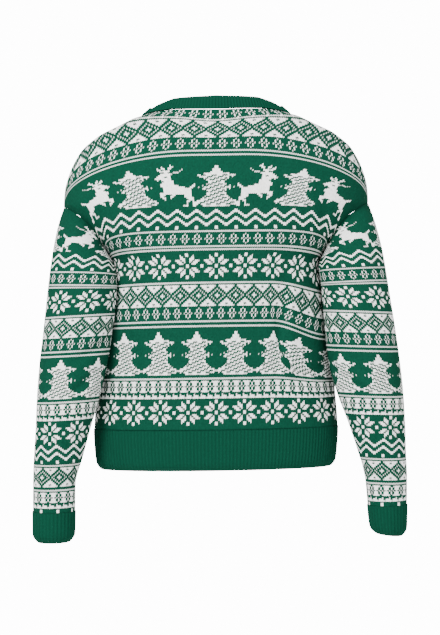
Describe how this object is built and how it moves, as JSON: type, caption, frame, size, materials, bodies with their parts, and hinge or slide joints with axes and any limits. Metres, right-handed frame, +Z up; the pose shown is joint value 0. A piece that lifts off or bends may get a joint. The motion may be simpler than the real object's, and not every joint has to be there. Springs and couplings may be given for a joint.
{
  "type": "knitted pullover",
  "caption": "Two-colour patterned knitted pullover with drop shoulders, long sleeves and ribbed neck, hem and cuffs, filled out as worn.",
  "frame": {"origin": "middle of the neck opening, level with the neck ends of the shoulder seams", "axes": "+Z up, -Y the wearer's back, +X the wearer's right"},
  "size_m": [0.6002, 0.2429, 0.7159],
  "materials": {
    "knit": "matte stranded wool knit, green with white pattern"
  },
  "bodies": {
    "root": {"back": "knit", "front": "knit", "sleeve_left": "knit", "sleeve_right": "knit", "hem_rib_back": "knit", "hem_rib_front": "knit", "cuff_left": "knit", "cuff_right": "knit", "neckband": "knit"}
  },
  "joints": []
}
